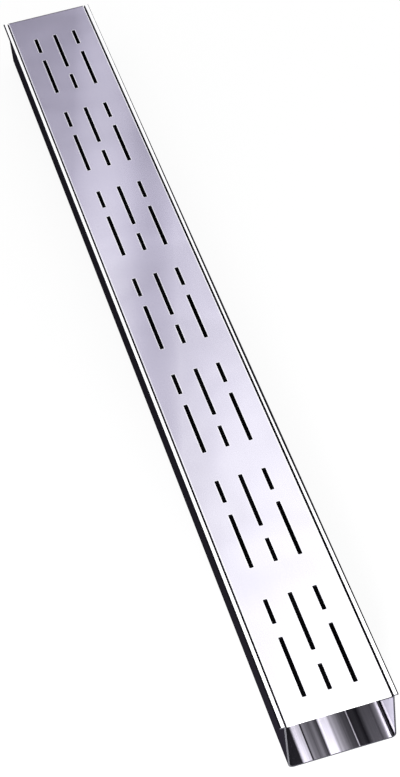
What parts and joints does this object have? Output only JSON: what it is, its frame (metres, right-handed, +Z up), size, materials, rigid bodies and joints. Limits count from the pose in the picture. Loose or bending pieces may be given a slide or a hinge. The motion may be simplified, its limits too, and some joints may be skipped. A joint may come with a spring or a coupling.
{
  "type": "slot drain",
  "caption": "Long drain channel folded from stainless sheet, closed at its far end, with a flush slotted cover plate carried on folded supports.",
  "frame": {"origin": "centre of the channel's underside", "axes": "+Y along the channel, from the end nearer in the picture to the farther one; +X across it to the right; +Z up"},
  "size_m": [0.086, 0.9, 0.048],
  "materials": {
    "channel_steel": "polished stainless sheet",
    "cover_steel": "satin stainless sheet",
    "support_steel": "mill-finish stainless strip"
  },
  "bodies": {
    "root": {"channel": "channel_steel", "slotted_cover": "cover_steel", "end_plate": "channel_steel", "cover_support_1": "support_steel", "cover_support_2": "support_steel", "cover_support_3": "support_steel", "cover_support_4": "support_steel", "cover_support_5": "support_steel", "cover_support_6": "support_steel"}
  },
  "joints": []
}
